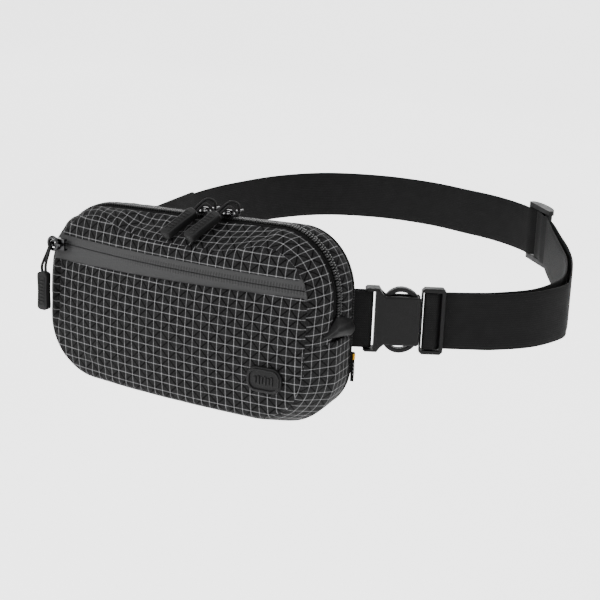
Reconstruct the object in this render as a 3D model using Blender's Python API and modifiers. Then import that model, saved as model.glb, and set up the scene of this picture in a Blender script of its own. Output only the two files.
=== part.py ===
"""Waist bag: a zipped pouch on an adjustable webbing belt with a side-release buckle and a tri-glide.

X runs along the bag, Y from the front panel back to the wearer, and Z up. The origin is the middle of the
back panel's outer face. Lengths are in millimetres until a shape is placed, which turns them into metres.
"""

import math

import bmesh
import bpy
from mathutils import Matrix, Vector

MM = 0.001

# Driving dimensions, in millimetres.
GAP = 0.3
FABRIC = 1.4
BACK_SHEET = 3.0
TAPE = 0.8
WEBBING_WIDTH = 40.0
WEBBING = 1.2
BELT_Z = -0.7

FRONT_Y = -62.0
FRONT_BOW_RADIUS = 640.0
FRONT_RISE_RADIUS = 252.0
FRONT_CREST_Z = -20.0
FRONT_TOP_DIP = 8.0
POCKET_DEPTH_Y = -50.0
BOTTOM_RIDGE_Y = -26.0
TOP_TILT = 0.05

POCKET_ZIP_LOW = 20.3
POCKET_ZIP_SLIT = 29.5
POCKET_ZIP_HIGH = 36.0
MAIN_ZIP_Y = -23.2
MAIN_ZIP_HALF = 5.8
MAIN_COIL_HALF = 2.4
MAIN_COIL_HEIGHT = 1.6
MAIN_COIL_END_Z = 9.5
ARCH_END_Z = -8.0

MAIN_SLIDER_X = {"left": 7.0, "right": 26.0}
POCKET_SLIDER_X = -94.0
LABEL_Z = -32.0
SLIDER_LENGTH = 9.0
SLIDER_PLATE = 1.2
TAB_REACH = 8.0
TAB_LIFT = math.radians(15)
CORD_RADIUS = 0.85
GRIP_LENGTH = 28.0
GRIP_WIDTH = 9.0
GRIP_THICK = 5.5

BUCKLE_START = (107.0, 6.0)
BUCKLE_HEADING = math.radians(29.5)
BUCKLE_HALF_THICK = 5.5
BUCKLE_INSIDE = 3.1
WEBBING_SLOT = 20.6
FEMALE_END = 46.8
MALE_START = 47.2
MALE_END = 63.5
MALE_HALF_THICK = 3.5
ARM_PIVOT = (45.4, 14.0)

ARC_CENTRE = (22.0, 204.0)
ARC_RADIUS = 145.0
TRIGLIDE_RADIUS = 147.0
TRIGLIDE_ANGLE = math.radians(46.3)
TRIGLIDE_HALF_LENGTH = 19.0
TRIGLIDE_HALF_HEIGHT = 24.5
THREADED_REACH = 24.0


class Outline:
    """A rounded rectangle in x and z whose top edge may sag in its middle."""

    def __init__(self, half_width, top, bottom, corner_top, corner_bottom, dip=0.0, tilt=0.0):
        self.half_width = half_width
        self.top = top
        self.bottom = bottom
        self.corner_top = corner_top
        self.corner_bottom = corner_bottom
        self.dip = dip
        self.tilt = tilt

    def top_at(self, x):
        centre = self.half_width - self.corner_top
        over = max(0.0, abs(x) - centre)
        drop = self.corner_top - math.sqrt(max(0.0, self.corner_top**2 - over**2))
        sag = self.dip * (1 - (x / centre) ** 4) ** 2 if abs(x) < centre else 0.0
        z = self.top - drop - sag
        return z + self.tilt * x * max(0.0, z) / self.top

    def bottom_at(self, x):
        over = max(0.0, abs(x) - self.half_width + self.corner_bottom)
        return self.bottom + self.corner_bottom - math.sqrt(max(0.0, self.corner_bottom**2 - over**2))

    def reach(self, z):
        """Half the width at height z."""
        above = max(0.0, z - self.top + self.corner_top)
        below = max(0.0, self.bottom + self.corner_bottom - z)
        corner = self.corner_top if above else self.corner_bottom
        return self.half_width - corner + math.sqrt(corner**2 - (above or below) ** 2)

    def arch(self, end_z, upper):
        """The upper or lower edge from the right side at end_z round to the left side, as x and z."""
        corner = self.corner_top if upper else self.corner_bottom
        centre = self.half_width - corner
        edge_at = self.top_at if upper else self.bottom_at
        xs = [self.half_width * 1.0]
        steps = 6
        for k in range(1, steps + 1):
            xs.append(centre + corner * math.cos(math.radians(90 * k / steps)))
        xs += [centre * 0.66, centre * 0.33]
        side = (self.half_width, (end_z + edge_at(self.half_width)) / 2)
        right = [(self.half_width, end_z), side, *[(x, edge_at(x)) for x in xs]]
        left = [(-x, edge_at(-x)) for x in xs[::-1]]
        ends = [(-side[0], side[1]), (-self.half_width, end_z)]
        return [*right, (0.0, edge_at(0.0)), *left, *ends]


FRONT = Outline(104.5, 54.0, -64.0, 38.0, 38.0, dip=FRONT_TOP_DIP)
ZIP = Outline(113.2, 60.0, -70.0, 44.0, 40.0, tilt=TOP_TILT)
RIDGE = Outline(114.0, 60.0, -71.0, 44.0, 40.0)
BACK = Outline(113.5, 57.0, -69.0, 40.0, 37.0, tilt=TOP_TILT)


# Scene and materials.


def clear_scene():
    for obj in list(bpy.data.objects):
        bpy.data.objects.remove(obj, do_unlink=True)


def new_collection(name):
    collection = bpy.data.collections.new(name)
    bpy.context.scene.collection.children.link(collection)
    return collection


def material(name, colour, roughness, metallic=0.0):
    made = bpy.data.materials.new(name)
    made.use_nodes = True
    shader = made.node_tree.nodes["Principled BSDF"]
    shader.inputs["Base Color"].default_value = (*colour, 1)
    shader.inputs["Roughness"].default_value = roughness
    shader.inputs["Metallic"].default_value = metallic
    return made


def place(name, data, look, matrix=None):
    """Adds a mesh or curve to the bag's collection with a material of its own."""
    obj = bpy.data.objects.new(name, data)
    PARTS.objects.link(obj)
    data.materials.clear()
    data.materials.append(material(name, *look))
    if matrix is not None:
        obj.matrix_world = matrix
    return obj


def pivot(name, position, *carried):
    """Parents pieces to an empty on their joint's axis, and leaves them where they are."""
    empty = bpy.data.objects.new(name, None)
    PARTS.objects.link(empty)
    empty.location = Vector(position) * MM
    bpy.context.view_layer.update()
    for obj in carried:
        obj.parent = empty
        obj.matrix_parent_inverse = empty.matrix_world.inverted()
    return empty


def frame(origin, along, up):
    """A matrix with X along, Y near up and Z square to both; the origin is in millimetres."""
    x = Vector(along).normalized()
    z = x.cross(Vector(up)).normalized()
    y = z.cross(x)
    turned = Matrix((x, y, z)).transposed().to_4x4()
    return Matrix.Translation(Vector(origin) * MM) @ turned


# Shapes.


def mesh_from(name, bm):
    mesh = bpy.data.meshes.new(name)
    bm.to_mesh(mesh)
    bm.free()
    return mesh


def flat_solid(name, outlines, half_thickness, look, matrix=None, rim=0.0):
    """A flat outline with a thickness along its Z and, with a rim, rounded edges, as a closed mesh."""
    curve = bpy.data.curves.new(name + "_outline", "CURVE")
    curve.dimensions = "2D"
    curve.fill_mode = "BOTH"
    curve.extrude = (half_thickness - rim) * MM
    curve.bevel_depth = rim * MM
    curve.bevel_resolution = 1
    curve.offset = -rim * MM
    for outline in outlines:
        spline = curve.splines.new("POLY")
        spline.points.add(len(outline) - 1)
        for point, (x, y) in zip(spline.points, outline):
            point.co = (x * MM, y * MM, 0, 1)
        spline.use_cyclic_u = True
    guide = bpy.data.objects.new(name + "_outline", curve)
    PARTS.objects.link(guide)
    bpy.context.view_layer.update()
    graph = bpy.context.evaluated_depsgraph_get()
    made = bpy.data.meshes.new_from_object(guide.evaluated_get(graph))
    bpy.data.objects.remove(guide, do_unlink=True)
    bm = bmesh.new()
    bm.from_mesh(made)
    bmesh.ops.remove_doubles(bm, verts=bm.verts, dist=1e-6)
    bmesh.ops.recalc_face_normals(bm, faces=bm.faces)
    return place(name, mesh_from(name, bm), look, matrix)


def cut(obj, low, high):
    """Cuts the box between two corners, in the object's own axes and millimetres, out of it."""
    low = Vector(low)
    high = Vector(high)
    bm = bmesh.new()
    bmesh.ops.create_cube(bm, size=1)
    bmesh.ops.scale(bm, vec=(high - low) * MM, verts=bm.verts)
    bmesh.ops.translate(bm, vec=(low + high) / 2 * MM, verts=bm.verts)
    cutter = bpy.data.objects.new(obj.name + "_cutter", mesh_from(obj.name + "_cutter", bm))
    CUTTERS.objects.link(cutter)
    cutter.matrix_world = obj.matrix_world
    cutter.display_type = "WIRE"
    cutter.hide_render = True
    modifier = obj.modifiers.new("cut", "BOOLEAN")
    modifier.operation = "DIFFERENCE"
    modifier.object = cutter


def smooth_path(points, step):
    """Points about every step millimetres on a Catmull-Rom curve through the given ones."""
    points = [Vector(p) for p in points]
    padded = [2 * points[0] - points[1], *points, 2 * points[-1] - points[-2]]
    path = []
    for a, b, c, d in zip(padded, padded[1:], padded[2:], padded[3:]):
        count = max(1, round((c - b).length / step))
        for k in range(count):
            t = k / count
            linear = 2 * b + (c - a) * t
            bend = (2 * a - 5 * b + 4 * c - d) * t**2 + (3 * b - a - 3 * c + d) * t**3
            path.append((linear + bend) / 2)
    return [*path, points[-1]]


def ribbon(name, points, look, thickness=WEBBING, width=WEBBING_WIDTH, step=6.0):
    """Webbing that stands on edge along a path in plan."""
    path = smooth_path(points, step)
    left = []
    right = []
    for k, point in enumerate(path):
        along = path[min(k + 1, len(path) - 1)] - path[max(k - 1, 0)]
        side = Vector((-along.y, along.x)).normalized() * thickness / 2
        left.append(tuple(point + side))
        right.append(tuple(point - side))
    level = Matrix.Translation((0, 0, BELT_Z * MM))
    return flat_solid(name, [right + left[::-1]], width / 2, look, level)


def tube(name, points, radius, look):
    curve = bpy.data.curves.new(name, "CURVE")
    curve.dimensions = "3D"
    curve.bevel_depth = radius * MM
    curve.bevel_resolution = 2
    curve.use_fill_caps = True
    path = smooth_path(points, 1.8)
    spline = curve.splines.new("POLY")
    spline.points.add(len(path) - 1)
    for point, position in zip(spline.points, path):
        point.co = (*(position * MM), 1)
    return place(name, curve, look)


def rounded(x_low, x_high, y_low, y_high, radius, steps=4):
    """A rounded rectangle's outline, anticlockwise."""
    outline = []
    corners = (
        (x_high - radius, y_low + radius, -90),
        (x_high - radius, y_high - radius, 0),
        (x_low + radius, y_high - radius, 90),
        (x_low + radius, y_low + radius, 180),
    )
    for x, y, start in corners:
        for k in range(steps + 1):
            angle = math.radians(start + 90 * k / steps)
            outline.append((x + radius * math.cos(angle), y + radius * math.sin(angle)))
    return outline


def sheet(name, rows, thickness, look):
    """Rows of points, in millimetres, skinned into a surface and thickened against its normals."""
    bm = bmesh.new()
    grid = [[bm.verts.new(Vector(p) * MM) for p in row] for row in rows]
    for near, far in zip(grid, grid[1:]):
        for k in range(len(near) - 1):
            bm.faces.new((near[k], near[k + 1], far[k + 1], far[k]))
    obj = place(name, mesh_from(name, bm), look)
    solidify = obj.modifiers.new("thickness", "SOLIDIFY")
    solidify.thickness = thickness * MM
    solidify.offset = -1
    solidify.use_even_offset = True
    return obj


# The bag's fabric.


def front_y(x, z):
    """The front panel's outer face: an arc in plan, and rounded in height."""
    bow = FRONT_BOW_RADIUS - math.sqrt(FRONT_BOW_RADIUS**2 - x**2)
    return FRONT_Y + bow + (z - FRONT_CREST_Z) ** 2 / (2 * FRONT_RISE_RADIUS)


def panel(name, outline, depth, z_low, z_high, thickness, look, across=20, up=5):
    """The part of an outline between two heights, as a sheet at depth(x, z) that faces the front."""
    widest = max(z_low, min(z_high, outline.bottom + outline.corner_bottom))
    reach = outline.reach(widest)
    if z_low > outline.top - outline.corner_top:
        reach -= 0.6
    rows = []
    for j in range(up + 1):
        row = []
        for k in range(across + 1):
            x = reach * math.sin(math.radians(180 * k / across - 90))
            low = max(z_low, outline.bottom_at(x))
            high = min(z_high, outline.top_at(x))
            z = low + (high - low) * j / up
            row.append((x, depth(x, z), z))
        rows.append(row)
    return sheet(name, rows, thickness, look)


def band_rows(*stations):
    """Rows for a strip round the bag; a station is an arch, its depth and how far it is lifted off."""
    rows = []
    for arch, depth, lift in stations:
        row = []
        for k, (x, z) in enumerate(arch):
            before = arch[max(k - 1, 0)]
            after = arch[min(k + 1, len(arch) - 1)]
            along = Vector((after[0] - before[0], after[1] - before[1])).normalized()
            outward = Vector((along.y, -along.x))
            if outward.dot(Vector((x, z))) < 0:
                outward = -outward
            y = depth(x, z) if callable(depth) else depth
            row.append((x + outward.x * lift, y, z + outward.y * lift))
        rows.append(row[::-1])
    return rows


def build_shell():
    def under(x, z):
        return front_y(x, z) + FABRIC + 3 * GAP

    panel("front_panel_lower", FRONT, front_y, FRONT.bottom, POCKET_ZIP_LOW - GAP / 2, FABRIC, FABRIC_LOOK)
    panel("front_panel_upper", FRONT, front_y, POCKET_ZIP_HIGH + GAP / 2, FRONT.top, FABRIC, FABRIC_LOOK)
    slit = 0.4
    panel("pocket_zip_tape_lower", FRONT, front_y, POCKET_ZIP_LOW + GAP / 2, POCKET_ZIP_SLIT - slit,
          FABRIC, COATED_LOOK, up=1)
    panel("pocket_zip_tape_upper", FRONT, front_y, POCKET_ZIP_SLIT + slit, POCKET_ZIP_HIGH - GAP / 2,
          FABRIC, COATED_LOOK, up=1)
    inside = Outline(100.5, 48.0, -60.0, 35.0, 35.0, dip=FRONT_TOP_DIP)
    panel("pocket_zip_coil", inside, lambda x, z: front_y(x, z) + FABRIC + GAP,
          POCKET_ZIP_SLIT - 2, POCKET_ZIP_SLIT + 2, MAIN_COIL_HEIGHT, COIL_LOOK, up=1)
    behind_coil = FABRIC + MAIN_COIL_HEIGHT + 3 * GAP
    panel("pocket_lining", inside, lambda x, z: max(front_y(x, z) + behind_coil, POCKET_DEPTH_Y),
          inside.bottom, inside.top, FABRIC, LINING_LOOK, up=10)

    zip_arch = ZIP.arch(ARCH_END_Z, upper=True)
    zip_front = MAIN_ZIP_Y - MAIN_ZIP_HALF
    zip_rear = MAIN_ZIP_Y + MAIN_ZIP_HALF
    middle = GAP / 2
    sheet("gusset_front", band_rows(
        (FRONT.arch(ARCH_END_Z, upper=True), under, 0), (zip_arch, zip_front - 3 * GAP, 0)),
        FABRIC, FABRIC_LOOK)
    sheet("gusset_rear", band_rows(
        (zip_arch, zip_rear + middle, 0),
        (BACK.arch(ARCH_END_Z, upper=True), -BACK_SHEET - 3 * GAP, 0)),
        FABRIC, FABRIC_LOOK)
    sheet("main_zip_tape_front", band_rows(
        (zip_arch, zip_front + middle, 0), (zip_arch, MAIN_ZIP_Y - middle, 0)), TAPE, ZIP_LOOK)
    sheet("main_zip_tape_rear", band_rows(
        (zip_arch, MAIN_ZIP_Y + middle, 0), (zip_arch, zip_rear - middle, 0)), TAPE, ZIP_LOOK)
    coil_arch = ZIP.arch(MAIN_COIL_END_Z, upper=True)
    lift = GAP + MAIN_COIL_HEIGHT
    sheet("main_zip_coil_front", band_rows(
        (coil_arch, MAIN_ZIP_Y - MAIN_COIL_HALF, lift), (coil_arch, MAIN_ZIP_Y - middle, lift)),
        MAIN_COIL_HEIGHT, COIL_LOOK)
    sheet("main_zip_coil_rear", band_rows(
        (coil_arch, MAIN_ZIP_Y + middle, lift), (coil_arch, MAIN_ZIP_Y + MAIN_COIL_HALF, lift)),
        MAIN_COIL_HEIGHT, COIL_LOOK)

    below = ARCH_END_Z - GAP
    bottom = sheet("bottom_gusset", band_rows(
        (BACK.arch(below, upper=False), -BACK_SHEET - 3 * GAP, 0),
        (RIDGE.arch(below, upper=False), BOTTOM_RIDGE_Y, 0),
        (FRONT.arch(below, upper=False), under, 0)), FABRIC, FABRIC_LOOK)
    bottom.modifiers["thickness"].use_quality_normals = True
    back = panel("back_panel", BACK, lambda x, z: 0.0, BACK.bottom, BACK.top, BACK_SHEET, BACK_LOOK,
                 across=24, up=1)
    back.modifiers["thickness"].offset = 1


def build_trim():
    for side, sign in (("left", -1), ("right", 1)):
        x = ZIP.half_width + GAP + TAPE
        facing = frame((sign * x, MAIN_ZIP_Y, 1.5), (0, 1, 0), (0, 0, 1))
        flat_solid("zip_end_tab_" + side, [rounded(-11.0, 13.5, -8.0, 7.5, 3.0)], TAPE, WEBBING_LOOK, facing)
    x = 79.0
    z = -33.0
    slope_x = x / FRONT_BOW_RADIUS
    badge_frame = frame((x, front_y(x, z) - 1.6, z), (1, slope_x, 0), (0, 0, 1))
    flat_solid("badge", [rounded(-12.5, 12.5, -8.75, 8.75, 8.0)], 1.1, RUBBER_LOOK, badge_frame, rim=0.6)
    label = frame((BACK.half_width + 1.4, -2.2, LABEL_Z), (1, 0, 0), (0, 0, 1))
    flat_solid("side_label", [rounded(-1.1, 1.1, -10.5, 10.5, 0.4)], 0.5, WEBBING_LOOK, label)


# Zip sliders, their tabs, cords and grips.


def build_slider(name, seat):
    """A slider on its seat: X along the zip, Y up off the zip, Z across it."""
    half = SLIDER_LENGTH / 2
    side = [
        (-half, -1.7), (half, -1.7), (half, SLIDER_PLATE),
        (3.4, SLIDER_PLATE), (2.9, 3.6), (-2.9, 3.6), (-3.4, SLIDER_PLATE), (-half, SLIDER_PLATE),
    ]
    eye = [(-2.2, SLIDER_PLATE), (2.2, SLIDER_PLATE), (2.0, 2.8), (-2.0, 2.8)]
    body = flat_solid(name, [side, eye], 3.9, METAL_LOOK, seat)
    cut(body, (-5, -3, -3.0), (5, 0, 3.0))
    cut(body, (-5, SLIDER_PLATE, -6), (5, 5, -0.8))
    cut(body, (-5, SLIDER_PLATE, 0.8), (5, 5, 6))
    return body


def build_tab(name, hinge):
    """A pull tab whose end bar runs through the slider's eye: X to its tip, Z square to the tab."""
    plate = rounded(-0.45, TAB_REACH + 2.4, -2.6, 2.6, 0.4)
    window = rounded(0.45, 4.6, -1.3, 1.3, 0.2)
    eye = rounded(TAB_REACH - 1.5, TAB_REACH + 1.5, -1.5, 1.5, 1.4)
    return flat_solid(name, [plate, window, eye], 0.45, METAL_LOOK, hinge)


def build_grip(name, top, bottom, outward):
    """A moulded grip from its cord end to its free end, with its flat side to outward."""
    top = Vector(top)
    along = (Vector(bottom) - top).normalized()
    across = Vector(outward).cross(along)
    outline = rounded(0, GRIP_LENGTH, -GRIP_WIDTH / 2, GRIP_WIDTH / 2, 1.8)
    return flat_solid(name, [outline], GRIP_THICK / 2, RUBBER_LOOK, frame(top, along, across), rim=0.9)


def build_main_pull(side):
    x = MAIN_SLIDER_X[side]
    run = Vector((1, 0, TOP_TILT)).normalized()
    up = Vector((0, 0, 1))
    base = Vector((x, MAIN_ZIP_Y, ZIP.top + TOP_TILT * x))
    seat = base + up * (MAIN_COIL_HEIGHT + 2.5 * GAP)
    slider = build_slider("main_slider_" + side, frame(seat, run, up))
    hinge = seat + up * 2.0
    tip = Vector((math.cos(TAB_LIFT), 0, math.sin(TAB_LIFT)))
    tab = build_tab("main_tab_" + side, frame(hinge, tip, (0, 1, 0)))
    eye = hinge + tip * TAB_REACH
    slope = Vector((-0.36, -0.76, -0.50)).normalized()
    top = Vector((x - 3.2, -31.6, 64.0 + TOP_TILT * x))
    grip = build_grip("main_grip_" + side, top, top + slope, (0, -0.5, 0.866))
    back = -slope
    reach = top + back * 3 * GAP
    cord = tube("main_cord_" + side, [
        reach + Vector((-1.5, 0, 0)),
        reach + back * 5 + Vector((-1.0, 0, 1.5)),
        eye + Vector((-5.0, -2.5, 8.2)),
        eye + Vector((-0.8, -0.6, 6.0)),
        eye + Vector((0.0, 0.0, 2.0)),
        eye,
        eye + Vector((0.6, -0.6, -1.9)),
        eye + Vector((1.2, -3.9, -2.4)),
        eye + Vector((0.6, -5.2, 0.4)),
        eye + Vector((-3.5, -6.3, 3.4)),
        reach + back * 3.2 + Vector((1.6, 0, 0.9)),
        reach + Vector((1.5, 0, 0)),
    ], CORD_RADIUS, CORD_LOOK)
    pivot("pivot_main_slider_" + side, base, slider)
    pivot("pivot_main_tab_" + side, hinge, tab)
    pivot("pivot_main_grip_" + side, eye, cord, grip)


def build_pocket_pull():
    x = POCKET_SLIDER_X
    z = POCKET_ZIP_SLIT
    turn = math.asin(x / FRONT_BOW_RADIUS)
    run = Vector((-math.cos(turn), -math.sin(turn), 0))
    off = Vector((math.sin(turn), -math.cos(turn), 0))
    seat = Vector((x, front_y(x, z), z)) + off * 2.9
    slider = build_slider("pocket_slider", frame(seat, run, off))
    hinge = seat + off * 2.0
    tab = build_tab("pocket_tab", frame(hinge, run, (0, 0, 1)))
    eye = hinge + run * TAB_REACH
    top = Vector((-105.0, -59.2, 9.0))
    grip = build_grip("pocket_grip", top, top - Vector((0, 0, 1)), (0, -1, 0))
    cord = tube("pocket_cord", [
        top + Vector((1.6, 0, 2 * GAP)),
        top + Vector((1.6, 0.4, 6)),
        eye + Vector((1.2, -3.2, -4.0)),
        eye + Vector((0.3, -2.4, -0.6)),
        eye,
        eye + Vector((-0.6, 2.0, -0.6)),
        eye + Vector((-3.0, 2.4, -3.2)),
        eye + Vector((-3.6, 0.2, -7.5)),
        top + Vector((-1.6, 0.4, 5)),
        top + Vector((-1.6, 0, 2 * GAP)),
    ], CORD_RADIUS, CORD_LOOK)
    pivot("pivot_pocket_slider", (0, front_y(0, z) + FRONT_BOW_RADIUS, z), slider)
    pivot("pivot_pocket_tab", hinge, tab)
    pivot("pivot_pocket_grip", eye, cord, grip)


# Buckle. Its frame has X from the bag's side outwards along the webbing, Y up and Z off the body.


def buckle_frame():
    heading = (math.cos(BUCKLE_HEADING), math.sin(BUCKLE_HEADING), 0)
    return frame((*BUCKLE_START, BELT_Z), heading, (0, 0, 1))


def buckle_plan(points):
    """Points along and off the buckle, turned into x and y of the plan."""
    cos = math.cos(BUCKLE_HEADING)
    sin = math.sin(BUCKLE_HEADING)
    return [(BUCKLE_START[0] + s * cos + n * sin, BUCKLE_START[1] + s * sin - n * cos) for s, n in points]


def mirrored(half):
    """An outline from its lower half, which runs from low x to high x."""
    return [*half, *[(x, -y) for x, y in half[::-1]]]


def build_female(at):
    half = [(9.2, -21.3), (10.4, -22.5), (18.6, -22.5), (20.5, -19.6), (23.0, -17.2), (45.6, -17.2),
            (FEMALE_END, -16.0)]
    body = flat_solid("buckle_female", [mirrored(half)], BUCKLE_HALF_THICK, PLASTIC_LOOK, at, rim=1.2)
    cut(body, (12.6, -WEBBING_SLOT, -7), (16.2, WEBBING_SLOT, 7))
    cut(body, (8, -WEBBING_SLOT, 1.6), (14, WEBBING_SLOT, 7))
    cut(body, (8, -WEBBING_SLOT, -7), (14, WEBBING_SLOT, -1.6))
    cut(body, (20.9, -9.5, -BUCKLE_INSIDE), (60, 9.5, BUCKLE_INSIDE))
    cut(body, (20.9, 11, -BUCKLE_INSIDE), (60, 30, BUCKLE_INSIDE))
    cut(body, (20.9, -30, -BUCKLE_INSIDE), (60, -11, BUCKLE_INSIDE))
    return body


def build_male(at):
    half = [(24.0, -2.6), (26.0, -4.2), (MALE_START, -4.2), (MALE_START, -21.4), (49.2, -23.3),
            (61.6, -23.3), (MALE_END, -21.4)]
    body = flat_solid("buckle_male", [mirrored(half)], MALE_HALF_THICK, PLASTIC_LOOK, at, rim=0.8)
    for side in (-1, 1):
        n = sorted((side * 2.6, side * 6))
        cut(body, (20, -9, n[0]), (MALE_START, 9, n[1]))
        n = sorted((side * 1.2, side * 6))
        cut(body, (50, -WEBBING_SLOT, n[0]), (58, WEBBING_SLOT, n[1]))
    cut(body, (48.4, -WEBBING_SLOT, -6), (51, WEBBING_SLOT, 6))
    cut(body, (57, -WEBBING_SLOT, -6), (61, WEBBING_SLOT, 6))
    cut(body, (60, -WEBBING_SLOT, -6), (65, WEBBING_SLOT, 0))
    return body


def build_arm(name, at, sign):
    """A spring arm that bows out of the female half's open side and ends in its catch."""
    bow = smooth_path([ARM_PIVOT, (41.5, 18.6), (36.5, 21.2), (31.0, 21.4), (26.4, 19.0), (23.4, 15.4)], 2.5)
    outer = []
    inner = []
    for k, point in enumerate(bow):
        along = bow[min(k + 1, len(bow) - 1)] - bow[max(k - 1, 0)]
        side = Vector((along.y, -along.x)).normalized() * 1.5
        outer.append(point + side)
        inner.append(point - side)
    root = [bow[0] + Matrix.Rotation(math.radians(30 * k), 2) @ (inner[0] - bow[0]) for k in range(1, 6)]
    outline = [*outer, *inner[::-1], *root]
    outline = [(p.x, sign * p.y) for p in outline]
    arm = flat_solid(name, [outline], 2.6, PLASTIC_LOOK, at, rim=0.5)
    x, y = ARM_PIVOT
    pivot("pivot_" + name, at @ Vector((x * MM, sign * y * MM, 0)) / MM, arm)


# Tri-glide. Its frame has X towards the rear, Y up and Z off the body.


def triglide_frame():
    out = Vector((math.cos(TRIGLIDE_ANGLE), math.sin(TRIGLIDE_ANGLE), 0))
    centre = Vector((*ARC_CENTRE, BELT_Z)) + out * TRIGLIDE_RADIUS
    return frame(centre, (-out.y, out.x, 0), (0, 0, 1))


def triglide_plan(points):
    out = Vector((math.cos(TRIGLIDE_ANGLE), math.sin(TRIGLIDE_ANGLE)))
    rear = Vector((-out.y, out.x))
    centre = Vector(ARC_CENTRE) + out * TRIGLIDE_RADIUS
    return [tuple(centre + rear * u + out * n) for u, n in points]


def build_triglide():
    reach = TRIGLIDE_HALF_LENGTH
    profile = [(-reach, -2.0), (reach, -2.0), (reach, 1.0)]
    for k in range(1, 10):
        u = reach * math.cos(math.radians(18 * k))
        profile.append((u, 1.0 + 5.5 * math.sin(math.radians(18 * k))))
    profile.append((-reach, 1.0))
    at = triglide_frame()
    lying = at @ Matrix.Rotation(math.radians(90), 4, "X")
    body = flat_solid("triglide", [profile], TRIGLIDE_HALF_HEIGHT, PLASTIC_LOOK, lying)
    slot = WEBBING_SLOT
    cut(body, (-15.5, -4, -slot), (-2.5, 8, slot))
    cut(body, (2.5, -4, -slot), (15.5, 8, slot))
    cut(body, (-20, 2.5, -slot), (20, 8, slot))
    cut(body, (-20, 1, -slot), (-15, 3, slot))
    cut(body, (15, 1, -slot), (20, 3, slot))
    cut(body, (-3, -4, -slot), (3, -0.5, slot))
    return body


# Belt.


def arc_point(degrees, radius=ARC_RADIUS):
    angle = math.radians(degrees)
    return (ARC_CENTRE[0] + radius * math.cos(angle), ARC_CENTRE[1] + radius * math.sin(angle))


def build_belt():
    ribbon("left_wing", [(-111.9, 0.8), (-117.5, 38), (-129.5, 100), (-138.6, 176)], WEBBING_LOOK,
           thickness=3.4, width=43.0, step=12)
    ribbon("belt_rear", [(-138.7, 177), (-139.0, 200), (-135, 235), (-121, 287), (-93, 328), (-48, 351),
                         (-0.2, 356)], WEBBING_LOOK, step=12)
    arc = [arc_point(a) for a in (82, 76, 70, 64, 59)]
    threaded_end = triglide_plan([(THREADED_REACH + GAP, -3.95)])
    ribbon("belt_back", [(0.2, 356), (22, 352.2), *arc, *threaded_end], WEBBING_LOOK, step=7)
    half = [(15.9, -3.1), (13.4, -2.1), (10.6, 0.6), (7.0, 3.7), (3.2, 4.8)]
    rise = [(THREADED_REACH, -3.95), (19.5, -3.35), *half, (0, 5.0)]
    threaded = ribbon("belt_threaded", triglide_plan([*rise, *[(-u, n) for u, n in rise[-2::-1]]]),
                      WEBBING_LOOK, step=2.5)
    sewn = ribbon("belt_sewn_end", triglide_plan([
        (-THREADED_REACH, -5.5), (-19.5, -4.9), (-15.5, -4.65), (-12, -4.0), (-8, -2.7), (-3, -1.6),
        (0, -1.5), (2.9, -1.35), (3.8, 0.9), (2.9, 3.3), (0, 3.5), (-3, 3.1), (-5.0, 1.6)]),
        WEBBING_LOOK, step=1.6)
    tail = MALE_END + 1.2
    ribbon("belt_fold", buckle_plan([
        (tail, -1.15), (62, -1.05), (60.2, -0.6), (58.9, 0.8), (57.6, 1.9), (55, 2.15), (52, 2.15),
        (50.4, 1.9), (49.7, 1.0), (49.6, -0.4), (49.8, -1.7), (50.9, -2.5), (53.5, -2.7), (tail, -2.75)]),
        WEBBING_LOOK, step=1.6)
    outer_start = buckle_plan([(tail + GAP, -1.15)])
    inner_start = buckle_plan([(tail + GAP, -2.75)])
    outer_end = triglide_plan([(-THREADED_REACH - GAP, -4.0)])
    inner_end = triglide_plan([(-THREADED_REACH - GAP, -5.55)])
    ribbon("belt_outer", [*outer_start, (178, 48), (192, 57.5), (211, 80), (220.5, 110), (216.5, 130),
                          (208, 156), (198, 182), (184, 211), (167, 241), (152, 268), *outer_end],
           WEBBING_LOOK, step=8)
    ribbon("belt_inner", [*inner_start, (176, 50), (189, 61), (206, 84), (212, 112), (210.5, 133),
                          (203, 158), (193, 183), (181, 206), (166, 234), (149.5, 265), *inner_end],
           WEBBING_LOOK, step=8)
    ribbon("right_wing", buckle_plan([
        (-4, 2.1), (3, 2.35), (9, 2.55), (12.4, 2.5), (14.0, 1.6), (14.4, 0), (14.0, -1.6), (12.4, -2.5),
        (9, -2.55), (3, -2.35), (-4, -2.1)]), WEBBING_LOOK, step=2.2)
    return threaded, sewn


FABRIC_LOOK = ((0.02, 0.02, 0.021), 0.7)
COATED_LOOK = ((0.09, 0.09, 0.092), 0.6)
LINING_LOOK = ((0.03, 0.03, 0.032), 0.8)
BACK_LOOK = ((0.02, 0.02, 0.02), 0.9)
ZIP_LOOK = ((0.018, 0.018, 0.018), 0.8)
COIL_LOOK = ((0.02, 0.02, 0.02), 0.35)
WEBBING_LOOK = ((0.014, 0.014, 0.014), 0.8)
PLASTIC_LOOK = ((0.02, 0.02, 0.021), 0.45)
RUBBER_LOOK = ((0.025, 0.025, 0.025), 0.6)
CORD_LOOK = ((0.02, 0.02, 0.02), 0.7)
METAL_LOOK = ((0.2, 0.2, 0.21), 0.3, 1.0)

clear_scene()
PARTS = new_collection("waist_bag")
CUTTERS = new_collection("cutters")
build_shell()
build_trim()
for end in MAIN_SLIDER_X:
    build_main_pull(end)
build_pocket_pull()
housing = buckle_frame()
build_female(housing)
male = build_male(housing)
build_arm("buckle_arm_upper", housing, 1)
build_arm("buckle_arm_lower", housing, -1)
glide = build_triglide()
moving = build_belt()
pivot("pivot_buckle", (*BUCKLE_START, BELT_Z), male)
pivot("pivot_triglide", (*ARC_CENTRE, BELT_Z), glide, *moving)
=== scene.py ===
"""The looks of the waist bag: cloth, zips, cords, grips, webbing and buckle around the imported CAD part."""

import math

import bmesh
import bpy
from mathutils import Matrix, Vector, noise


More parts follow.
